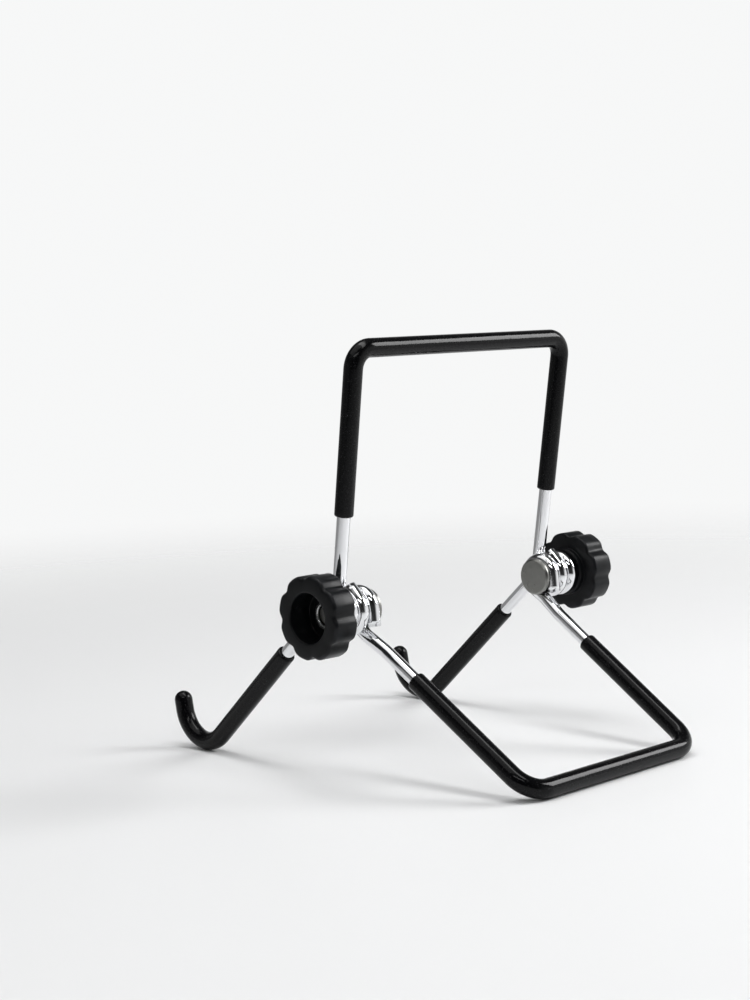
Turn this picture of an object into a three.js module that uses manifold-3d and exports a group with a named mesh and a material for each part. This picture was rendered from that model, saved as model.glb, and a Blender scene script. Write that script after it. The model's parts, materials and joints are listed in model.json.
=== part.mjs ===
// Folding wire stand that holds a phone or a small tablet at an adjustable angle.
//
// Units are millimetres. +Z is up, +X is to the user's right and +Y points away from the user.
// The origin is on the table, under the centre of the stand's bounding box.
//
// Two U-shaped wire frames and two hooked wire feet turn on one sideways axis. On each side
// their three wire eyes are stacked on a bolt and clamped by a hand knob.
//
// Angles in the side view are measured from +Y towards +Z, and an arm's angle is the direction
// in which it leaves the axis.

import * as THREE from 'three';
import { mergeVertices } from 'three/addons/utils/BufferGeometryUtils.js';
import Module from 'manifold-3d';

const wasm = await Module();
wasm.setup();

// ---------------------------------------------------------------- driving dimensions

const WIRE_RADIUS = 1.75;
const SLEEVE_RADIUS = 2.5;
const SLEEVE_BORE_RADIUS = 1.95;
const EYE_RADIUS = 4.45;            // centre line of the wire around the bolt
const EYE_TURN = 233;               // degrees of round eye before its straight tail
const EYE_TAIL = 4.2;
const STACK_GAP = 0.2;              // between neighbouring eyes, bolt head and knob
const INNER_EYE_X = 34.7;           // rear leg's eye, the innermost of the three
const EYE_PITCH = 2 * WIRE_RADIUS + STACK_GAP;
const REAR_EYE_X = INNER_EYE_X;
const BACK_EYE_X = INNER_EYE_X + EYE_PITCH;
const FOOT_EYE_X = INNER_EYE_X + 2 * EYE_PITCH;

const FRAME_ARM = 65.7;             // eye tangent point to the cross bar's centre line
const SLEEVE_START = 23.4;          // bare wire between the eye and every sleeve
const BACK_REST_ANGLE = 80.9;
const BACK_REST_HALF_WIDTH = 39.1;
const BACK_REST_CORNER = 5;
const REAR_LEG_ANGLE = -33.4;
const REAR_LEG_HALF_WIDTH = 31.7;
const REAR_LEG_CORNER = 6.5;
const REAR_LEG_JOG_INNER = 33.5;    // half width of the rear leg just below its eyes
const REAR_LEG_JOG_END = 12;
const JOG_START = 5;                // both frames run square to the axis up to here
const JOG_RADIUS = 8;

const FOOT_ANGLE = 221.9;
const HOOK_RADIUS = 9.3;
const LIP_RISE = 80;                // degrees that the hook turns up past level
const LIP_LENGTH = 5;
const TIP_COVER = 2.4;              // the wire stops this far short of the sleeve's tip

const HEAD_THICKNESS = 1.2;
const HEAD_RADIUS = 5;
const HEAD_CHAMFER = 0.45;
const SHANK_RADIUS = 2.4;
const SHANK_CHAMFER = 0.5;
const SHANK_END = 46.9;

const KNOB_RADIUS = 10.75;
const KNOB_LOBES = 8;
const KNOB_SCALLOP = 0.85;          // depth of the valleys between the lobes
const VALLEY_SHARPNESS = 3;         // a larger power makes broader lobes and narrower valleys
const KNOB_INNER = 45.7;
const KNOB_OUTER = 53;
const KNOB_EDGE = 0.6;
const KNOB_BOSS_RADIUS = 6.6;
const RECESS_RADIUS = 6.3;
const RECESS_FLOOR = 46.4;
const RIGHT_VALLEY = 6.3;           // side-view angle of one valley as each knob was left
const LEFT_VALLEY = 36.2;

const INSERT_BORE_RADIUS = 2.6;
const INSERT_RADIUS = 3.1;
const INSERT_FLANGE_RADIUS = 3.65;
const INSERT_FLANGE = 0.6;
const PART_GAP = 0.1;               // between an insert and the knob around it
const BORE_END_GAP = 0.2;           // between a foot wire's end and the bottom of its sleeve's bore
const CUT_PAST = 1;                 // how far a cut runs on past the face that it opens

const WIRE_SIDES = 10;
const SLEEVE_SIDES = 12;
const ROUND_SIDES = 24;
const LOBE_POINTS = 8;
const EYE_STEP = 18;
const CORNER_STEP = 15;

// ---------------------------------------------------------------- materials

const material = (color, roughness, metalness) =>
  new THREE.MeshStandardMaterial({ color, roughness, metalness });
const chromeWire = () => material(0xd6d9dc, 0.12, 1);
const blackSleeve = () => material(0x17181a, 0.3, 0);
const boltSteel = () => material(0x9a9b98, 0.35, 1);
const knobPlastic = () => material(0x232527, 0.5, 0);
const insertSteel = () => material(0xc4c6c6, 0.25, 1);

// ---------------------------------------------------------------- bent wire

const X_AXIS = new THREE.Vector3(1, 0, 0);
const Y_AXIS = new THREE.Vector3(0, 1, 0);
const DOWN = new THREE.Vector3(0, 0, -1);
const radians = THREE.MathUtils.degToRad;

const sideways = (degrees) =>
  new THREE.Vector3(0, Math.cos(radians(degrees)), Math.sin(radians(degrees)));

// A run of wire described as a bending machine makes it: straight lengths and bends. It is a
// curve whose sections sit at the ends of the straights and at even steps around the bends.
class BentWire extends THREE.Curve {
  constructor(start, direction) {
    super();
    this.stations = [{ point: start.clone(), tangent: direction.clone().normalize() }];
  }

  get end() {
    return this.stations[this.stations.length - 1];
  }

  get steps() {
    return this.stations.length - 1;
  }

  straight(length) {
    const { point, tangent } = this.end;
    this.stations.push({
      point: point.clone().addScaledVector(tangent, length),
      tangent: tangent.clone(),
    });
    return this;
  }

  // Turns by the right-hand rule about axis, which is square to the wire.
  bend(radius, degrees, axis, step = CORNER_STEP) {
    const { point, tangent } = this.end;
    const toCentre = axis.clone().cross(tangent).multiplyScalar(radius);
    const centre = point.clone().add(toCentre);
    const count = Math.max(1, Math.round(degrees / step));
    for (let i = 1; i <= count; i += 1) {
      const turn = new THREE.Quaternion().setFromAxisAngle(axis, radians(degrees * i / count));
      this.stations.push({
        point: toCentre.clone().negate().applyQuaternion(turn).add(centre),
        tangent: tangent.clone().applyQuaternion(turn),
      });
    }
    return this;
  }

  // Goes straight from corner to corner, and rounds each inner corner with its own radius.
  through(corners, radii) {
    corners.forEach((corner, i) => {
      const reach = corner.clone().sub(this.end.point);
      if (i === corners.length - 1) {
        this.straight(reach.length());
        return;
      }
      const before = reach.clone().normalize();
      const after = corners[i + 1].clone().sub(corner).normalize();
      const turn = THREE.MathUtils.radToDeg(before.angleTo(after));
      const tangentLength = radii[i] * Math.tan(radians(turn / 2));
      this.straight(reach.length() - tangentLength);
      this.bend(radii[i], turn, before.cross(after).normalize());
    });
    return this;
  }

  // The same run mirrored to the other side of the stand.
  mirrored() {
    const other = new BentWire(this.stations[0].point, this.stations[0].tangent);
    other.stations = this.stations.map(({ point, tangent }) => ({
      point: point.clone().setX(-point.x),
      tangent: tangent.clone().setX(-tangent.x),
    }));
    return other;
  }

  // One run out of two that leave the same point in opposite directions.
  static joined(backward, forward) {
    const whole = new BentWire(forward.stations[0].point, forward.stations[0].tangent);
    const reversed = backward.stations.slice(1).reverse().map(({ point, tangent }) => ({
      point,
      tangent: tangent.clone().negate(),
    }));
    whole.stations = [...reversed, ...forward.stations];
    return whole;
  }

  station(u) {
    return this.stations[Math.round(u * this.steps)];
  }

  getPointAt(u, target = new THREE.Vector3()) {
    return target.copy(this.station(u).point);
  }

  getTangentAt(u, target = new THREE.Vector3()) {
    return target.copy(this.station(u).tangent);
  }
}

// Corner points of a regular polygon that has one flat facing the angle given.
function polygon(sides, cornerRadius, facing) {
  return Array.from({ length: sides }, (_, i) => {
    const angle = facing + (i + 0.5) * 2 * Math.PI / sides;
    return new THREE.Vector2(cornerRadius * Math.cos(angle), cornerRadius * Math.sin(angle));
  });
}

const flatRadius = (radius, sides) => radius / Math.cos(Math.PI / sides);

// Angle, in the run's own section plane at one station, of a direction in space.
function facingAngle(run, index, direction) {
  const frames = run.computeFrenetFrames(run.steps, false);
  return Math.atan2(direction.dot(frames.binormals[index]), direction.dot(frames.normals[index]));
}

function swept(run, outline, bore) {
  const shape = new THREE.Shape(outline);
  if (bore) {
    shape.holes.push(new THREE.Path(bore));
  }
  return new THREE.ExtrudeGeometry(shape, { steps: run.steps, extrudePath: run });
}

const sweptWire = (run) => swept(run, polygon(WIRE_SIDES, WIRE_RADIUS, 0));

// ---------------------------------------------------------------- solids with booleans

function solidOf(geometry) {
  const bare = geometry.index ? geometry.toNonIndexed() : geometry.clone();
  bare.deleteAttribute('normal');
  bare.deleteAttribute('uv');
  const merged = mergeVertices(bare, 1e-4);
  const mesh = new wasm.Mesh({
    numProp: 3,
    vertProperties: new Float32Array(merged.attributes.position.array),
    triVerts: new Uint32Array(merged.index.array),
  });
  return new wasm.Manifold(mesh);
}

function geometryOf(solid) {
  const mesh = solid.getMesh();
  const positions = new Float32Array(mesh.vertProperties);
  const geometry = new THREE.BufferGeometry();
  geometry.setAttribute('position', new THREE.BufferAttribute(positions, 3));
  geometry.setIndex(new THREE.BufferAttribute(new Uint32Array(mesh.triVerts), 1));
  geometry.computeVertexNormals();
  return geometry;
}

// ---------------------------------------------------------------- where things are

const tangentPoint = (armAngle, side) => sideways(armAngle + side * 90).multiplyScalar(EYE_RADIUS);

const REAR_SIDE = -1;               // the rear leg and the feet meet their eyes clockwise
const FOOT_SIDE = -1;
const BACK_SIDE = 1;                // and the back rest meets its eyes anticlockwise

const rearBar = tangentPoint(REAR_LEG_ANGLE, REAR_SIDE)
  .addScaledVector(sideways(REAR_LEG_ANGLE), FRAME_ARM);
const AXIS_HEIGHT = SLEEVE_RADIUS - rearBar.z;

// The foot's straight length brings the bottom of its hook down to the table.
const footTangent = tangentPoint(FOOT_ANGLE, FOOT_SIDE);
const footSlope = FOOT_ANGLE - 180;
const hookDrop = HOOK_RADIUS * (1 - Math.cos(radians(footSlope)));
const hookStartHeight = SLEEVE_RADIUS + hookDrop;
const FOOT_STRAIGHT = (AXIS_HEIGHT + footTangent.z - hookStartHeight) / Math.sin(radians(footSlope));

const frontReach = -footTangent.y
  + FOOT_STRAIGHT * Math.cos(radians(footSlope))
  + HOOK_RADIUS * (Math.sin(radians(footSlope)) + Math.sin(radians(LIP_RISE)))
  + (LIP_LENGTH - SLEEVE_RADIUS) * Math.cos(radians(LIP_RISE))
  + SLEEVE_RADIUS;
const rearReach = rearBar.y + SLEEVE_RADIUS;
const AXIS_Y = (frontReach - rearReach) / 2;
const AXIS = new THREE.Vector3(0, AXIS_Y, AXIS_HEIGHT);

// ---------------------------------------------------------------- wire frames and feet

function addEye(run, side) {
  return run
    .bend(EYE_RADIUS, EYE_TURN, X_AXIS.clone().multiplyScalar(side), EYE_STEP)
    .straight(EYE_TAIL);
}

// Half of a U frame from the middle of its cross bar, along corners given as [x, distance
// from the eye]. With eyes it ends in an eye, and without it ends where a sleeve ends.
function frameHalf(angle, side, corners, radii, withEye) {
  const along = sideways(angle);
  const foot = AXIS.clone().add(tangentPoint(angle, side));
  const place = ([x, distance]) => foot.clone().addScaledVector(along, distance).setX(x);
  const run = new BentWire(place([0, FRAME_ARM]), X_AXIS);
  run.through(corners.map(place), radii);
  return withEye ? addEye(run, side) : run;
}

function frameRun(...half) {
  const right = frameHalf(...half);
  return BentWire.joined(right.mirrored(), right);
}

// The point on an arm's centre line where its sleeve ends.
const between = (from, to, distance) =>
  [THREE.MathUtils.mapLinear(distance, from[1], to[1], from[0], to[0]), distance];

const sleeveSection = (radius, facing) =>
  polygon(SLEEVE_SIDES, flatRadius(radius, SLEEVE_SIDES), facing);

// A frame's sleeve has one of its flats facing down along the cross bar, so it lies on the table.
function frameSleeve(run) {
  const crossBar = Math.floor(run.steps / 2) + 1;
  const facing = facingAngle(run, crossBar, DOWN);
  const outline = sleeveSection(SLEEVE_RADIUS, facing);
  return swept(run, outline, sleeveSection(SLEEVE_BORE_RADIUS, facing));
}

function rearLeg() {
  const corner = [REAR_LEG_HALF_WIDTH, FRAME_ARM];
  const jogEnd = [REAR_LEG_JOG_INNER, REAR_LEG_JOG_END];
  const jogStart = [REAR_EYE_X, JOG_START];
  const eye = [REAR_EYE_X, 0];
  const radii = [REAR_LEG_CORNER, JOG_RADIUS, JOG_RADIUS];
  const sleeveEnd = between(corner, jogEnd, SLEEVE_START);
  const corners = [corner, jogEnd, jogStart, eye];
  const wireRun = frameRun(REAR_LEG_ANGLE, REAR_SIDE, corners, radii, true);
  const sleeveRun = frameRun(REAR_LEG_ANGLE, REAR_SIDE, [corner, sleeveEnd], radii, false);
  return { wire: sweptWire(wireRun), sleeve: frameSleeve(sleeveRun) };
}

// The back rest's arms lean in a little from the bar to the eyes, and straighten beside them.
function backRest() {
  const corner = [BACK_REST_HALF_WIDTH, FRAME_ARM];
  const knee = [BACK_EYE_X, JOG_START];
  const eye = [BACK_EYE_X, 0];
  const radii = [BACK_REST_CORNER, JOG_RADIUS];
  const sleeveEnd = between(corner, knee, SLEEVE_START);
  const wireRun = frameRun(BACK_REST_ANGLE, BACK_SIDE, [corner, knee, eye], radii, true);
  const sleeveRun = frameRun(BACK_REST_ANGLE, BACK_SIDE, [corner, sleeveEnd], radii, false);
  return { wire: sweptWire(wireRun), sleeve: frameSleeve(sleeveRun) };
}

// A foot's run from a distance along its arm to the tip of its hook.
function hookRun(x, startDistance, lipLength) {
  const along = sideways(FOOT_ANGLE);
  const start = AXIS.clone().add(footTangent).addScaledVector(along, startDistance).setX(x);
  const up = X_AXIS.clone().negate();
  return new BentWire(start, along)
    .straight(FOOT_STRAIGHT - startDistance)
    .bend(HOOK_RADIUS, footSlope, up)
    .bend(HOOK_RADIUS, LIP_RISE, up)
    .straight(lipLength);
}

function foot(x) {
  const eyeStart = AXIS.clone().add(footTangent).setX(x);
  const eye = addEye(new BentWire(eyeStart, sideways(FOOT_ANGLE).negate()), FOOT_SIDE);
  const wireRun = BentWire.joined(eye, hookRun(x, 0, LIP_LENGTH - TIP_COVER));

  // The sleeve is a tube closed by a dome at the hook's tip.
  const outer = hookRun(x, SLEEVE_START, LIP_LENGTH - SLEEVE_RADIUS);
  const facing = facingAngle(outer, outer.steps, X_AXIS);
  const tube = solidOf(swept(outer, sleeveSection(SLEEVE_RADIUS, facing)));
  const toTip = new THREE.Quaternion().setFromUnitVectors(Y_AXIS, outer.end.tangent);
  const dome = new THREE.SphereGeometry(SLEEVE_RADIUS, SLEEVE_SIDES, SLEEVE_SIDES / 2);
  dome.applyQuaternion(toTip);
  dome.translate(...outer.end.point.toArray());
  const inner = hookRun(x, SLEEVE_START - CUT_PAST, LIP_LENGTH - TIP_COVER + BORE_END_GAP);
  const bore = solidOf(swept(inner, sleeveSection(SLEEVE_BORE_RADIUS, facing)));
  const sleeve = geometryOf(tube.add(solidOf(dome)).subtract(bore));
  return { wire: sweptWire(wireRun), sleeve };
}

// ---------------------------------------------------------------- bolts and knobs
//
// They are modelled along local +Z, which points outwards along the axis from the middle of
// the stand, so their z values are distances from the stand's middle plane.

function turned(profile) {
  const points = profile.map(([radius, along]) => new THREE.Vector2(radius, along));
  return new THREE.LatheGeometry(points, ROUND_SIDES).rotateX(Math.PI / 2);
}

function bolt() {
  const underside = REAR_EYE_X - WIRE_RADIUS - STACK_GAP;
  const face = underside - HEAD_THICKNESS;
  return turned([
    [0, face],
    [HEAD_RADIUS - HEAD_CHAMFER, face],
    [HEAD_RADIUS, face + HEAD_CHAMFER],
    [HEAD_RADIUS, underside],
    [SHANK_RADIUS, underside],
    [SHANK_RADIUS, SHANK_END - SHANK_CHAMFER],
    [SHANK_RADIUS - SHANK_CHAMFER, SHANK_END],
    [0, SHANK_END],
  ]);
}

const BOSS_END = FOOT_EYE_X + WIRE_RADIUS + STACK_GAP;

function cylinder(radius, from, to) {
  return solidOf(new THREE.CylinderGeometry(radius, radius, to - from, ROUND_SIDES)
    .rotateX(Math.PI / 2)
    .translate(0, 0, (from + to) / 2));
}

// A lobed hand knob: a deep round recess outside, and inside a boss that bears on the eyes.
function knob(valleyAngle) {
  const count = KNOB_LOBES * LOBE_POINTS;
  const outline = Array.from({ length: count }, (_, i) => {
    const angle = 2 * Math.PI * i / count;
    const lobe = (1 + Math.cos(KNOB_LOBES * angle)) / 2;
    const radius = KNOB_RADIUS - KNOB_EDGE - KNOB_SCALLOP * lobe ** VALLEY_SHARPNESS;
    const turn = angle + valleyAngle;
    return new THREE.Vector2(radius * Math.cos(turn), radius * Math.sin(turn));
  });
  const grip = new THREE.ExtrudeGeometry(new THREE.Shape(outline), {
    depth: KNOB_OUTER - KNOB_INNER - 2 * KNOB_EDGE,
    bevelThickness: KNOB_EDGE,
    bevelSize: KNOB_EDGE,
    bevelSegments: 1,
  }).translate(0, 0, KNOB_INNER + KNOB_EDGE);
  const body = solidOf(grip)
    .add(cylinder(KNOB_BOSS_RADIUS, BOSS_END, KNOB_INNER + KNOB_EDGE))
    .subtract(cylinder(RECESS_RADIUS, RECESS_FLOOR, KNOB_OUTER + CUT_PAST))
    .subtract(cylinder(INSERT_RADIUS + 2 * PART_GAP, BOSS_END - CUT_PAST, KNOB_OUTER));
  return geometryOf(body);
}

function insert() {
  const flangeStart = RECESS_FLOOR + PART_GAP;
  const flangeEnd = flangeStart + INSERT_FLANGE;
  const inner = BOSS_END + PART_GAP;
  return turned([
    [INSERT_BORE_RADIUS, inner],
    [INSERT_BORE_RADIUS, flangeEnd],
    [INSERT_FLANGE_RADIUS, flangeEnd],
    [INSERT_FLANGE_RADIUS, flangeStart],
    [INSERT_RADIUS, flangeStart],
    [INSERT_RADIUS, inner],
    [INSERT_BORE_RADIUS, inner],
  ].reverse());
}

// ---------------------------------------------------------------- assembly

const stand = new THREE.Group();

function add(parent, name, geometry, finish) {
  const mesh = new THREE.Mesh(geometry, finish);
  mesh.name = name;
  parent.add(mesh);
}

const rear = rearLeg();
add(stand, 'rear_leg_wire', rear.wire, chromeWire());
add(stand, 'rear_leg_sleeve', rear.sleeve, blackSleeve());

const back = backRest();
add(stand, 'back_rest_wire', back.wire, chromeWire());
add(stand, 'back_rest_sleeve', back.sleeve, blackSleeve());

// Outwards is +X on the user's right and -X on the left. Turning the outward axis onto local Z
// also turns side-view angles, so each side gives its own angle of a knob's valley.
const sides = [
  { name: 'right', sign: 1, valley: radians(90 + RIGHT_VALLEY) },
  { name: 'left', sign: -1, valley: radians(90 - LEFT_VALLEY) },
];

for (const { name, sign, valley } of sides) {
  const { wire, sleeve } = foot(sign * FOOT_EYE_X);
  add(stand, `${name}_foot_wire`, wire, chromeWire());
  add(stand, `${name}_foot_sleeve`, sleeve, blackSleeve());

  const joint = new THREE.Group();
  joint.position.copy(AXIS);
  joint.rotation.y = sign * Math.PI / 2;
  stand.add(joint);
  add(joint, `${name}_bolt`, bolt(), boltSteel());
  add(joint, `${name}_knob`, knob(valley), knobPlastic());
  add(joint, `${name}_knob_insert`, insert(), insertSteel());
}

export default stand;
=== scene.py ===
import json
import math

import bmesh
import bpy
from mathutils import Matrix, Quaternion, Vector

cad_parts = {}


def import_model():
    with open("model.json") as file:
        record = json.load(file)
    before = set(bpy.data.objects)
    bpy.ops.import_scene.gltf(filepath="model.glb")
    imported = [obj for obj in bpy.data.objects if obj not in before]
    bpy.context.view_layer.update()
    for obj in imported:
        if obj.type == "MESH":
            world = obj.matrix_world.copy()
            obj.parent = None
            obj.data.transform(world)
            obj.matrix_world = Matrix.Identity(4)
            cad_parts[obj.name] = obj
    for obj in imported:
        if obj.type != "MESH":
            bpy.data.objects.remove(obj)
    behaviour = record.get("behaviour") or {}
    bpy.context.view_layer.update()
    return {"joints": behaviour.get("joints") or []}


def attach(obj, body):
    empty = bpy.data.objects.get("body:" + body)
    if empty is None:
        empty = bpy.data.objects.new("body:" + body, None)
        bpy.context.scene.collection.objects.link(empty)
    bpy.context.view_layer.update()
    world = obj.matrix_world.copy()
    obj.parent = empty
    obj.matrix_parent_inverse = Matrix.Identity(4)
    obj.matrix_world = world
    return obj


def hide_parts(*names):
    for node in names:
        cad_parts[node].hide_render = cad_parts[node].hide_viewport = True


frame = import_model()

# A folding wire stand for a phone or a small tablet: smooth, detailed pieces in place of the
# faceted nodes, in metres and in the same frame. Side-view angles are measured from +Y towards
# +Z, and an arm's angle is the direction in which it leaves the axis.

joint = next(j for j in frame["joints"] if j["name"] == "back_rest_tilt")
AXIS = Vector(joint["pos_m"])
MM = 0.001
X_AXIS = Vector((1, 0, 0))

# ---------------------------------------------------------------- driving dimensions
#
# Outer radii are a little under those of the faceted model, so that nothing reaches past it.

WIRE_RADIUS = 1.74 * MM
SLEEVE_RADIUS = 2.45 * MM
SLEEVE_LIP = 0.5 * MM
REST_HEIGHT = 2.5 * MM  # centre of a sleeve that lies on the table
WIRE_END_EDGE = 0.25 * MM
POLE_RADIUS = 0.02 * MM  # stands in for a point where an end or a turned face closes
EYE_RADIUS = 4.45 * MM
EYE_TURN = 233
EYE_TAIL = 4.2 * MM
STACK_GAP = 0.2 * MM
REAR_EYE_X = 34.7 * MM
EYE_PITCH = 3.7 * MM
BACK_EYE_X = REAR_EYE_X + EYE_PITCH
FOOT_EYE_X = REAR_EYE_X + 2 * EYE_PITCH

FRAME_ARM = 65.7 * MM
SLEEVE_START = 23.4 * MM
BACK_REST_ANGLE = 80.9
BACK_REST_HALF_WIDTH = 39.1 * MM
BACK_REST_CORNER = 5 * MM
REAR_LEG_ANGLE = -33.4
REAR_LEG_HALF_WIDTH = 31.7 * MM
REAR_LEG_CORNER = 6.5 * MM
REAR_LEG_JOG_INNER = 33.5 * MM
JOG_START = 5 * MM
JOG_END = 12 * MM
JOG_RADIUS = 8 * MM
FOOT_ANGLE = 221.9
HOOK_RADIUS = 9.3 * MM
LIP_RISE = 80
LIP_LENGTH = 5 * MM
TIP_COVER = 2.4 * MM

HEAD_THICKNESS = 1.2 * MM
HEAD_RADIUS = 4.99 * MM
SHANK_RADIUS = 2.39 * MM
SHANK_END = 46.9 * MM
KNOB_RADIUS = 10.74 * MM
KNOB_LOBES = 8
KNOB_SCALLOP = 0.9 * MM
VALLEY_SHARPNESS = 3
KNOB_INNER = 45.7 * MM
KNOB_OUTER = 53 * MM
KNOB_BOSS_RADIUS = 6.55 * MM
RECESS_RADIUS = 6.3 * MM
RECESS_FLOOR = 46.4 * MM
RIGHT_VALLEY = 6.3
LEFT_VALLEY = 36.2
INSERT_BORE_RADIUS = 2.6 * MM
INSERT_RADIUS = 3.1 * MM
INSERT_FLANGE_RADIUS = 3.65 * MM
INSERT_FLANGE = 0.6 * MM
BOSS_END = FOOT_EYE_X + WIRE_RADIUS + STACK_GAP

WIRE_SIDES = 40
ROUND_SIDES = 192
BEND_STEP = 4
STRAIGHT_STEP = 1.5 * MM


def sideways(degrees):
    return Vector((0, math.cos(math.radians(degrees)), math.sin(math.radians(degrees))))


def tangent_point(angle, side):
    return sideways(angle + side * 90) * EYE_RADIUS


# ---------------------------------------------------------------- centre lines


class Run:
    """The centre line of a bent wire, described as a bending machine makes it."""

    def __init__(self, start, direction):
        self.stations = [(Vector(start), Vector(direction).normalized())]

    def straight(self, length):
        point, tangent = self.stations[-1]
        count = max(1, round(length / STRAIGHT_STEP))
        for i in range(1, count + 1):
            self.stations.append((point + tangent * (length * i / count), tangent.copy()))
        return self

    def bend(self, radius, degrees, axis):
        point, tangent = self.stations[-1]
        to_centre = axis.cross(tangent) * radius
        count = max(1, round(degrees / BEND_STEP))
        for i in range(1, count + 1):
            turn = Quaternion(axis, math.radians(degrees * i / count))
            self.stations.append((point + to_centre - turn @ to_centre, turn @ tangent))
        return self

    def through(self, corners, radii):
        for i, corner in enumerate(corners):
            reach = corner - self.stations[-1][0]
            if i == len(corners) - 1:
                return self.straight(reach.length)
            before = reach.normalized()
            after = (corners[i + 1] - corner).normalized()
            turn = before.angle(after)
            self.straight(reach.length - radii[i] * math.tan(turn / 2))
            self.bend(radii[i], math.degrees(turn), before.cross(after).normalized())
        return self

    def mirrored(self):
        other = Run(*self.stations[0])
        other.stations = [
            (Vector((-p.x, p.y, p.z)), Vector((-t.x, t.y, t.z))) for p, t in self.stations
        ]
        return other

    @staticmethod
    def joined(backward, forward):
        whole = Run(*forward.stations[0])
        reversed_part = [(p, -t) for p, t in reversed(backward.stations[1:])]
        whole.stations = reversed_part + forward.stations
        return whole

    def frames(self):
        """(distance along, point, tangent, two directions across) at each station."""
        point, tangent = self.stations[0]
        across = tangent.orthogonal().normalized()
        distance = 0
        rows = [(0, point, tangent, across, tangent.cross(across))]
        for following, direction in self.stations[1:]:
            across = tangent.rotation_difference(direction) @ across
            across = (across - direction * across.dot(direction)).normalized()
            distance += (following - point).length
            rows.append((distance, following, direction, across, direction.cross(across)))
            point, tangent = following, direction
        return rows


# ---------------------------------------------------------------- mesh building


def new_piece(name, bm, material, body, node):
    mesh = bpy.data.meshes.new(name)
    bm.to_mesh(mesh)
    bm.free()
    for polygon in mesh.polygons:
        polygon.use_smooth = True
    mesh.materials.append(material)
    obj = bpy.data.objects.new(name, mesh)
    bpy.context.scene.collection.objects.link(obj)
    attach(obj, body)
    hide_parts(node)
    return obj


def skin(bm, rings, closed_ends=(True, True)):
    """Joins rings of vertices, each a list of the same length, and caps the two ends."""
    for ring, following in zip(rings, rings[1:]):
        count = len(ring)
        for i in range(count):
            j = (i + 1) % count
            bm.faces.new((ring[i], ring[j], following[j], following[i]))
    if closed_ends[0]:
        bm.faces.new(list(reversed(rings[0])))
    if closed_ends[1]:
        bm.faces.new(rings[-1])


def tube(name, run, start, end, radius, material, body, node):
    """A round tube along a run. start and end are the profiles of its two ends, as (distance
    in from the end, radius) from the end's middle outwards."""
    rows = run.frames()
    total = rows[-1][0]
    inner_start = start[-1][0]
    inner_end = total - end[-1][0]
    profile = list(start)
    profile += [(row[0], radius) for row in rows if inner_start < row[0] < inner_end]
    profile += [(total - inward, size) for inward, size in reversed(end)]
    bm = bmesh.new()
    unbent = bm.verts.layers.float_vector.new("unbent")
    rings = []
    for distance, size in profile:
        k = max(i for i, row in enumerate(rows) if row[0] <= max(distance, 0) + 1e-9)
        _, point, tangent, across, upward = rows[k]
        centre = point + tangent * (distance - rows[k][0])
        ring = []
        for i in range(WIRE_SIDES):
            angle = 2 * math.pi * i / WIRE_SIDES
            c, s = math.cos(angle), math.sin(angle)
            vert = bm.verts.new(centre + (across * c + upward * s) * size)
            vert[unbent] = (size * c, size * s, distance)
            ring.append(vert)
        rings.append(ring)
    skin(bm, rings)
    bmesh.ops.recalc_face_normals(bm, faces=bm.faces)
    return new_piece(name, bm, material, body, node)


def rounded(radius, edge, steps=4):
    """The end profile of a solid wire: flat, with a rounded edge."""
    profile = [(0, POLE_RADIUS), (0, (radius - edge) * 0.6)]
    for i in range(steps + 1):
        angle = math.pi / 2 * i / steps
        inward = edge * (1 - math.sin(angle))
        profile.append((inward, radius - edge * (1 - math.cos(math.pi / 2 - angle))))
    return profile


def sleeve_lip(radius, wire_radius, edge):
    """A sleeve's cut end: it closes on the wire, with a rounded lip."""
    depth = 1.2 * MM
    inner_edge = 0.2 * MM
    inner_steps = 3
    outer_steps = 5
    mouth = wire_radius + 0.1 * MM
    profile = [(depth, wire_radius * 0.98), (0.5 * MM, wire_radius + 0.08 * MM)]
    for i in range(inner_steps + 1):
        angle = math.pi / 2 * i / inner_steps
        inward = inner_edge * (1 - math.sin(angle))
        profile.append((inward, mouth + inner_edge * (1 - math.cos(angle))))
    for i in range(outer_steps + 1):
        angle = math.pi / 2 * i / outer_steps
        inward = edge * (1 - math.cos(angle))
        profile.append((inward, radius - edge * (1 - math.sin(angle))))
    return profile


def dome(radius, steps=10):
    """A round closed end."""
    profile = []
    for i in range(steps + 1):
        angle = math.pi / 2 * i / steps
        size = max(radius * math.sin(angle), POLE_RADIUS)
        profile.append((radius * (1 - math.cos(angle)), size))
    return profile


# ---------------------------------------------------------------- materials


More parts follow.
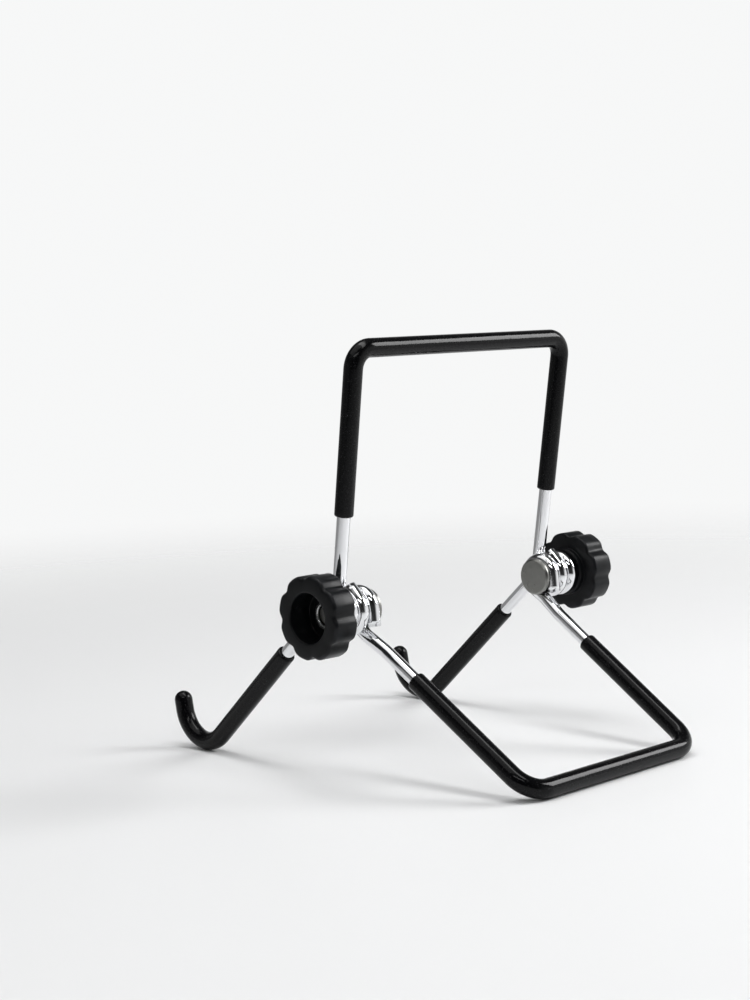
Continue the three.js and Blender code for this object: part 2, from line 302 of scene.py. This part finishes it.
class Nodes:
    """A small helper that builds one material's node tree."""

    def __init__(self, name, **sockets):
        self.material = bpy.data.materials.new(name)
        self.material.use_nodes = True
        self.tree = self.material.node_tree
        self.shader = self.tree.nodes["Principled BSDF"]
        for socket, value in sockets.items():
            self.shader.inputs[socket.replace("_", " ")].default_value = value

    def node(self, kind, links=None, **settings):
        node = self.tree.nodes.new(kind)
        for key, value in settings.items():
            setattr(node, key, value)
        for socket, source in (links or {}).items():
            self.link(source, node.inputs[socket])
        return node

    def link(self, source, target):
        if hasattr(source, "is_output"):
            self.tree.links.new(source, target)
        else:
            target.default_value = source

    def place(self, attribute=None, scale=(1, 1, 1)):
        if attribute:
            source = self.node("ShaderNodeAttribute", attribute_name=attribute).outputs["Vector"]
        else:
            source = self.node("ShaderNodeTexCoord").outputs["Object"]
        return self.node("ShaderNodeMapping", {"Vector": source, "Scale": scale}).outputs["Vector"]

    def noise(self, vector, scale, detail=3.0, roughness=0.55):
        return self.node(
            "ShaderNodeTexNoise",
            {"Vector": vector, "Scale": scale, "Detail": detail, "Roughness": roughness},
        ).outputs["Fac"]

    def remap(self, value, low, high, to_low, to_high):
        limits = {"From Min": low, "From Max": high, "To Min": to_low, "To Max": to_high}
        return self.node("ShaderNodeMapRange", {"Value": value, **limits}).outputs["Result"]

    def mix(self, factor, first, second):
        node = self.node("ShaderNodeMix", data_type="RGBA")
        self.link(factor, node.inputs["Factor"])
        self.link(first, node.inputs[6])
        self.link(second, node.inputs[7])
        return node.outputs[2]

    def maths(self, operation, first, second):
        node = self.node("ShaderNodeMath", operation=operation)
        self.link(first, node.inputs[0])
        self.link(second, node.inputs[1])
        return node.outputs[0]

    def bump(self, height, strength, distance, normal=None):
        links = {"Height": height, "Strength": strength, "Distance": distance}
        if normal is not None:
            links["Normal"] = normal
        return self.node("ShaderNodeBump", links).outputs["Normal"]

    def out(self, socket, source):
        self.tree.links.new(source, self.shader.inputs[socket])


def chrome():
    """Bright plating over drawn wire: faint drawing lines, haze and a few fine scratches."""
    m = Nodes("chromed_wire", Metallic=1.0)
    lines = m.noise(m.place("unbent", (1, 1, 0.03)), 2600, 2)
    haze = m.noise(m.place("unbent", (1, 1, 0.4)), 260, 4)
    ripple = m.noise(m.place("unbent", (1, 1, 0.5)), 170, 2)
    m.out("Base Color", m.mix(haze, (0.74, 0.75, 0.77, 1), (0.88, 0.88, 0.89, 1)))
    m.out("Roughness", m.remap(haze, 0.35, 0.7, 0.05, 0.16))
    m.out("Normal", m.bump(lines, 0.12, 0.00002, m.bump(ripple, 0.25, 0.00008)))
    return m.material


def sleeve_black():
    """Soft black sleeve: glossy, with drawn-out grain, dust and pale scuffs."""
    m = Nodes("black_sleeve")
    m.shader.inputs["Specular IOR Level"].default_value = 0.16
    grain = m.noise(m.place("unbent", (1, 1, 0.12)), 900, 3)
    patches = m.noise(m.place("unbent", (1, 1, 0.5)), 140, 4, 0.6)
    speckle = m.noise(m.place("unbent"), 2400, 2)
    dust = m.remap(speckle, 0.6, 0.72, 0, 1)
    base = m.mix(patches, (0.0015, 0.0015, 0.002, 1), (0.004, 0.004, 0.0045, 1))
    m.out("Base Color", m.mix(m.maths("MULTIPLY", dust, 0.5), base, (0.04, 0.04, 0.042, 1)))
    gloss = m.remap(patches, 0.35, 0.7, 0.07, 0.2)
    m.out("Roughness", m.maths("ADD", gloss, m.maths("MULTIPLY", dust, 0.2)))
    m.out("Normal", m.bump(speckle, 0.3, 0.00003, m.bump(grain, 0.35, 0.00006)))
    return m.material


def knob_black():
    """Moulded black plastic: fine spark-eroded grain, satin, with rubbed edges."""
    m = Nodes("knob_plastic")
    m.shader.inputs["Specular IOR Level"].default_value = 0.16
    grain = m.noise(m.place(), 5200, 2)
    patches = m.noise(m.place(), 260, 4, 0.6)
    rubbed = m.node("ShaderNodeAttribute", attribute_name="rubbed").outputs["Fac"]
    wear = m.maths("MULTIPLY", rubbed, m.remap(patches, 0.35, 0.7, 0.2, 1))
    base = m.mix(patches, (0.0025, 0.003, 0.0035, 1), (0.005, 0.0055, 0.0065, 1))
    m.out("Base Color", m.mix(wear, base, (0.02, 0.021, 0.024, 1)))
    satin = m.remap(patches, 0.3, 0.7, 0.27, 0.42)
    m.out("Roughness", m.maths("SUBTRACT", satin, m.maths("MULTIPLY", wear, 0.1)))
    m.out("Normal", m.bump(grain, 0.35, 0.00005))
    return m.material


def turned_steel(name, dark, pale, rough_low, rough_high):
    """Turned steel: fine rings round the axis, a little uneven in colour."""
    m = Nodes(name, Metallic=1.0)
    rings = m.noise(m.place("turned", (0.02, 0.02, 1)), 5200, 2)
    patches = m.noise(m.place(), 420, 4, 0.6)
    m.out("Base Color", m.mix(patches, dark, pale))
    m.out("Roughness", m.remap(patches, 0.3, 0.7, rough_low, rough_high))
    m.out("Normal", m.bump(rings, 0.25, 0.00003))
    return m.material


CHROME = chrome()
SLEEVE = sleeve_black()
KNOB = knob_black()
# The bolt's steel has a darker base colour than its bright plated steel has: painted shade, standing in
# for the shaded surface that the bolt head reflects.
BOLT = turned_steel("bolt_steel", (0.2, 0.2, 0.19, 1), (0.28, 0.28, 0.265, 1), 0.26, 0.38)
INSERT = turned_steel("insert_steel", (0.55, 0.56, 0.56, 1), (0.74, 0.74, 0.74, 1), 0.16, 0.3)

# ---------------------------------------------------------------- frames and feet

REAR_SIDE = -1
FOOT_SIDE = -1
BACK_SIDE = 1


def add_eye(run, side):
    return run.bend(EYE_RADIUS, EYE_TURN, X_AXIS * side).straight(EYE_TAIL)


def frame_run(angle, side, corners, radii, with_eye):
    along = sideways(angle)
    foot = AXIS + tangent_point(angle, side)

    def place(corner):
        point = foot + along * corner[1]
        point.x = corner[0]
        return point

    half = Run(place((0, FRAME_ARM)), X_AXIS).through([place(c) for c in corners], radii)
    if with_eye:
        add_eye(half, side)
    return Run.joined(half.mirrored(), half)


def between(first, last, distance):
    share = (distance - first[1]) / (last[1] - first[1])
    return (first[0] + (last[0] - first[0]) * share, distance)


def build_frame(prefix, angle, side, corners, radii, sleeve_towards):
    wire_run = frame_run(angle, side, corners, radii, True)
    sleeve_end = between(corners[0], sleeve_towards, SLEEVE_START)
    sleeve_run = frame_run(angle, side, [corners[0], sleeve_end], radii[:1], False)
    wire_end = rounded(WIRE_RADIUS, WIRE_END_EDGE)
    lip = sleeve_lip(SLEEVE_RADIUS, WIRE_RADIUS, SLEEVE_LIP)
    tube(f"{prefix}_wire_round", wire_run, wire_end, wire_end, WIRE_RADIUS,
         CHROME, prefix, f"{prefix}_wire")
    tube(f"{prefix}_sleeve_round", sleeve_run, lip, lip, SLEEVE_RADIUS,
         SLEEVE, prefix, f"{prefix}_sleeve")


rear_corner = (REAR_LEG_HALF_WIDTH, FRAME_ARM)
jog_end = (REAR_LEG_JOG_INNER, JOG_END)
build_frame("rear_leg", REAR_LEG_ANGLE, REAR_SIDE,
            [rear_corner, jog_end, (REAR_EYE_X, JOG_START), (REAR_EYE_X, 0)],
            [REAR_LEG_CORNER, JOG_RADIUS, JOG_RADIUS], jog_end)

back_knee = (BACK_EYE_X, JOG_START)
build_frame("back_rest", BACK_REST_ANGLE, BACK_SIDE,
            [(BACK_REST_HALF_WIDTH, FRAME_ARM), back_knee, (BACK_EYE_X, 0)],
            [BACK_REST_CORNER, JOG_RADIUS], back_knee)

foot_tangent = tangent_point(FOOT_ANGLE, FOOT_SIDE)
foot_slope = FOOT_ANGLE - 180
hook_drop = HOOK_RADIUS * (1 - math.cos(math.radians(foot_slope)))
foot_height = AXIS.z + foot_tangent.z - REST_HEIGHT - hook_drop
FOOT_STRAIGHT = foot_height / math.sin(math.radians(foot_slope))


def hook_run(x, start_distance, lip_length):
    along = sideways(FOOT_ANGLE)
    start = AXIS + foot_tangent + along * start_distance
    start.x = x
    run = Run(start, along).straight(FOOT_STRAIGHT - start_distance)
    return run.bend(HOOK_RADIUS, foot_slope + LIP_RISE, -X_AXIS).straight(lip_length)


def build_foot(side_name, x):
    prefix = f"{side_name}_foot"
    eye_start = AXIS + foot_tangent
    eye_start.x = x
    eye = add_eye(Run(eye_start, -sideways(FOOT_ANGLE)), FOOT_SIDE)
    wire_run = Run.joined(eye, hook_run(x, 0, LIP_LENGTH - TIP_COVER))
    wire_end = rounded(WIRE_RADIUS, WIRE_END_EDGE)
    tube(f"{prefix}_wire_round", wire_run, wire_end, wire_end, WIRE_RADIUS,
         CHROME, prefix, f"{prefix}_wire")
    sleeve_run = hook_run(x, SLEEVE_START, LIP_LENGTH)
    lip = sleeve_lip(SLEEVE_RADIUS, WIRE_RADIUS, SLEEVE_LIP)
    tube(f"{prefix}_sleeve_round", sleeve_run, lip, dome(SLEEVE_RADIUS), SLEEVE_RADIUS,
         SLEEVE, prefix, f"{prefix}_sleeve")


build_foot("right", FOOT_EYE_X)
build_foot("left", -FOOT_EYE_X)

# ---------------------------------------------------------------- bolts and knobs


def lathe(name, sign, profile, outline, material, body, node, rubbed=None, closed=True):
    """Turns a profile of (radius, distance from the stand's middle plane) about the axis.
    outline(angle, radius) may change a ring's radius, for the knob's lobes, and rubbed(angle, k)
    gives how worn point k of the profile is. With closed, the first and last rings are capped,
    and without it the profile joins back to its start."""
    bm = bmesh.new()
    turned = bm.verts.layers.float_vector.new("turned")
    wear = bm.verts.layers.float.new("rubbed")
    rings = []
    travelled = 0
    for k, (radius, along) in enumerate(profile):
        if k:
            travelled += math.dist(profile[k], profile[k - 1])
        ring = []
        for i in range(ROUND_SIDES):
            angle = 2 * math.pi * i / ROUND_SIDES
            size = outline(angle, radius) if outline else radius
            vert = bm.verts.new((
                sign * along,
                AXIS.y + size * math.cos(angle),
                AXIS.z + size * math.sin(angle),
            ))
            vert[turned] = (size * math.cos(angle), size * math.sin(angle), travelled)
            vert[wear] = rubbed(angle, k) if rubbed else 0
            ring.append(vert)
        rings.append(ring)
    if closed:
        skin(bm, rings)
    else:
        skin(bm, [*rings, rings[0]], (False, False))
    bmesh.ops.recalc_face_normals(bm, faces=bm.faces)
    return new_piece(name, bm, material, body, node)


def fillet(corner, before, after, radius, steps=5):
    """Points of a rounded corner of a profile, between its two neighbouring points."""
    a = Vector(before) - Vector(corner)
    b = Vector(after) - Vector(corner)
    a.normalize()
    b.normalize()
    half = a.angle(b) / 2
    reach = radius / math.tan(half)
    centre = Vector(corner) + (a + b).normalized() * (radius / math.sin(half))
    first = Vector(corner) + a * reach - centre
    last = Vector(corner) + b * reach - centre
    points = []
    for i in range(steps + 1):
        point = centre + first.slerp(last, i / steps) * radius
        points.append((point.x, point.y))
    return points


def rounded_profile(corners):
    """corners are (radius, along, fillet radius), with 0 for a sharp corner."""
    points = []
    for i, (radius, along, edge) in enumerate(corners):
        if edge:
            before = corners[i - 1][:2]
            after = corners[(i + 1) % len(corners)][:2]
            points += fillet((radius, along), before, after, edge)
        else:
            points.append((radius, along))
    return points


def build_bolt(name, sign):
    underside = REAR_EYE_X - WIRE_RADIUS - STACK_GAP
    face = underside - HEAD_THICKNESS
    profile = rounded_profile([
        (POLE_RADIUS, face, 0),
        (HEAD_RADIUS * 0.5, face, 0),
        (HEAD_RADIUS - 0.5 * MM, face, 0.08 * MM),
        (HEAD_RADIUS, face + 0.45 * MM, 0.25 * MM),
        (HEAD_RADIUS, underside, 0.15 * MM),
        (SHANK_RADIUS, underside, 0),
        (SHANK_RADIUS, SHANK_END - 0.5 * MM, 0.1 * MM),
        (SHANK_RADIUS - 0.5 * MM, SHANK_END, 0.1 * MM),
        (POLE_RADIUS, SHANK_END, 0),
    ])
    lathe(f"{name}_bolt_turned", sign, profile, None,
          BOLT, "rear_leg", f"{name}_bolt")


def build_knob(name, sign, valley):
    hole = INSERT_RADIUS + 0.15 * MM
    corners = [
        (hole, BOSS_END, 0),
        (KNOB_BOSS_RADIUS, BOSS_END, 0.35 * MM),
        (KNOB_BOSS_RADIUS, KNOB_INNER, 0.25 * MM),
        (KNOB_RADIUS - 2.6 * MM, KNOB_INNER, 0),
        (KNOB_RADIUS, KNOB_INNER, 0.7 * MM),
        (KNOB_RADIUS, (KNOB_INNER + KNOB_OUTER) / 2, 0),
        (KNOB_RADIUS, KNOB_OUTER, 0.9 * MM),
        (RECESS_RADIUS, KNOB_OUTER, 0.45 * MM),
        (RECESS_RADIUS, RECESS_FLOOR, 0.3 * MM),
        (hole, RECESS_FLOOR, 0.1 * MM),
    ]
    profile = rounded_profile(corners)
    # The lobes fade out between the recess's edge and the rim.
    fade_from, fade_to = RECESS_RADIUS + 1.2 * MM, KNOB_RADIUS - 1.2 * MM

    def lobes(angle):
        return (1 + math.cos(KNOB_LOBES * (angle - math.radians(valley)))) / 2

    def outline(angle, radius):
        fade = min(max((radius - fade_from) / (fade_to - fade_from), 0), 1)
        fade = fade * fade * (3 - 2 * fade)
        return radius - KNOB_SCALLOP * lobes(angle) ** VALLEY_SHARPNESS * fade

    def rubbed(angle, k):
        radius, along = profile[k]
        outside = radius > KNOB_RADIUS - 0.9 * MM
        near_edge = min(abs(along - KNOB_OUTER), abs(along - KNOB_INNER)) < 1 * MM
        return 0.8 * (1 - lobes(angle)) if outside and near_edge else 0.1 if outside else 0

    lathe(f"{name}_knob_moulded", sign, profile, outline,
          KNOB, f"{name}_knob", f"{name}_knob", rubbed, closed=False)


def build_insert(name, sign):
    flange_start = RECESS_FLOOR + 0.1 * MM
    flange_end = flange_start + INSERT_FLANGE
    inner = BOSS_END + 0.1 * MM
    profile = rounded_profile([
        (INSERT_BORE_RADIUS, inner, 0),
        (INSERT_BORE_RADIUS, flange_end, 0.25 * MM),
        (INSERT_FLANGE_RADIUS, flange_end, 0.18 * MM),
        (INSERT_FLANGE_RADIUS, flange_start, 0.05 * MM),
        (INSERT_RADIUS, flange_start, 0),
        (INSERT_RADIUS, inner, 0.05 * MM),
    ])
    lathe(f"{name}_insert_turned", sign, profile, None,
          INSERT, f"{name}_knob", f"{name}_knob_insert", closed=False)


for name, sign, valley in (("right", 1, RIGHT_VALLEY), ("left", -1, LEFT_VALLEY)):
    build_bolt(name, sign)
    build_knob(name, sign, valley)
    build_insert(name, sign)

# ---------------------------------------------------------------- floor, light and camera

FLOOR_RADIUS = 6
FADE_START = 0.08
FADE_END = 0.65


def floor():
    """A round pale table top that fades out into the pale room, so that no edge shows."""
    bm = bmesh.new()
    bmesh.ops.create_circle(bm, cap_ends=True, segments=96, radius=FLOOR_RADIUS)
    mesh = bpy.data.meshes.new("floor")
    bm.to_mesh(mesh)
    bm.free()
    m = Nodes("floor_white", Roughness=0.5)
    m.shader.inputs["Base Color"].default_value = (0.9, 0.905, 0.91, 1)
    m.shader.inputs["Specular IOR Level"].default_value = 0.3
    place = m.node("ShaderNodeTexCoord").outputs["Object"]
    distance = m.node("ShaderNodeVectorMath", {0: place}, operation="LENGTH").outputs["Value"]
    faded = m.node(
        "ShaderNodeMapRange",
        {"Value": distance, "From Min": FADE_START, "From Max": FADE_END},
        interpolation_type="SMOOTHSTEP",
    ).outputs["Result"]
    gone = m.node("ShaderNodeBsdfTransparent")
    blend = m.node("ShaderNodeMixShader", {0: faded})
    m.tree.links.new(m.shader.outputs[0], blend.inputs[1])
    m.tree.links.new(gone.outputs[0], blend.inputs[2])
    m.tree.links.new(blend.outputs[0], m.tree.nodes["Material Output"].inputs["Surface"])
    mesh.materials.append(m.material)
    obj = bpy.data.objects.new("floor", mesh)
    bpy.context.scene.collection.objects.link(obj)


def area_light(name, location, target, size, energy):
    light = bpy.data.lights.new(name, "AREA")
    light.shape = "RECTANGLE"
    light.size, light.size_y = size
    light.energy = energy
    obj = bpy.data.objects.new(name, light)
    obj.location = location
    obj.rotation_mode = "QUATERNION"
    obj.rotation_quaternion = (Vector(target) - Vector(location)).to_track_quat("-Z", "Y")
    bpy.context.scene.collection.objects.link(obj)


def world():
    """A pale room, seen by the camera as one flat tone. For all other light it is bright at the
    horizon and dark overhead, with two darker sides, so that the chrome has contrast."""
    room = bpy.data.worlds.new("room")
    room.use_nodes = True
    tree = room.node_tree
    background = tree.nodes["Background"]

    def node(kind, **settings):
        made = tree.nodes.new(kind)
        for key, value in settings.items():
            setattr(made, key, value)
        return made

    direction = node("ShaderNodeTexCoord").outputs["Generated"]
    split = node("ShaderNodeSeparateXYZ")
    tree.links.new(direction, split.inputs[0])
    spread = node("ShaderNodeMapRange")
    tree.links.new(split.outputs["Z"], spread.inputs["Value"])
    spread.inputs["From Min"].default_value = -1
    ramp = node("ShaderNodeValToRGB")
    tree.links.new(spread.outputs["Result"], ramp.inputs["Fac"])
    elements = ramp.color_ramp.elements
    while len(elements) < len(ROOM_LEVELS):
        elements.new(0.5)
    for element, (position, level) in zip(elements, ROOM_LEVELS):
        element.position = position
        element.color = (level, level, level, 1)
    brightness = ramp.outputs["Color"]
    for side, darkest in DARK_SIDES:
        facing = node("ShaderNodeVectorMath", operation="DOT_PRODUCT")
        tree.links.new(direction, facing.inputs[0])
        facing.inputs[1].default_value = side
        shade = node("ShaderNodeMapRange", interpolation_type="SMOOTHSTEP")
        tree.links.new(facing.outputs["Value"], shade.inputs["Value"])
        limits = {"From Min": 0.3, "From Max": 0.85, "To Min": 1.0, "To Max": darkest}
        for socket, value in limits.items():
            shade.inputs[socket].default_value = value
        shaded = node("ShaderNodeMath", operation="MULTIPLY")
        tree.links.new(brightness, shaded.inputs[0])
        tree.links.new(shade.outputs["Result"], shaded.inputs[1])
        brightness = shaded.outputs[0]
    seen = node("ShaderNodeMath", operation="MAXIMUM")
    tree.links.new(brightness, seen.inputs[0])
    tree.links.new(node("ShaderNodeLightPath").outputs["Is Camera Ray"], seen.inputs[1])
    background.inputs["Color"].default_value = (*ROOM_PALE, 1)
    tree.links.new(seen.outputs[0], background.inputs["Strength"])
    bpy.context.scene.world = room


ROOM_PALE = (0.93, 0.935, 0.935)
# Brightness against height, from straight down at 0 to straight up at 1.
ROOM_LEVELS = [(0.0, 0.3), (0.49, 1.0), (0.6, 0.95), (0.68, 0.42), (0.8, 0.07), (0.9, 0.05), (1.0, 0.3)]
# The direction of each darker side's middle, and what is left of the light there.
DARK_SIDES = (((0.69, 0.715, 0.08), 0.03), ((0.45, -0.89, 0.0), 0.3))
floor()
world()
area_light("overhead", (0.0, 0.12, 0.7), (0, 0, 0.04), (0.16, 0.7), 1.9)
area_light("softbox", (-0.62, 0.42, 0.48), (0, 0, 0.07), (0.4, 0.36), 4.8)
area_light("fill", (0.25, -0.1, 0.85), (0.05, 0, 0), (0.9, 0.9), 2.5)
area_light("strip", (0.52, 0.46, 0.6), (0, 0, 0.06), (0.5, 0.1), 0.8)

# The view is from behind the stand and to its right, and is rolled a little.
CAMERA_FROM_AXIS = Vector((359.06, 341.74, 72.88)) * MM
AIM_FROM_AXIS = Vector((15.08, -13.57, 25.18)) * MM
CAMERA_ROLL = -2.11
centre_of_axis = Vector((0, AXIS.y, AXIS.z))
camera_data = bpy.data.cameras.new("camera")
camera_data.lens = 67.94
camera_data.sensor_width = 36
camera_data.clip_start = 0.01
camera = bpy.data.objects.new("camera", camera_data)
camera.location = centre_of_axis + CAMERA_FROM_AXIS
camera.rotation_mode = "QUATERNION"
look = (AIM_FROM_AXIS - CAMERA_FROM_AXIS).to_track_quat("-Z", "Y")
camera.rotation_quaternion = look @ Quaternion((0, 0, 1), math.radians(CAMERA_ROLL))
bpy.context.scene.collection.objects.link(camera)
bpy.context.scene.camera = camera
bpy.context.scene.view_settings.view_transform = "Standard"

bpy.context.view_layer.update()
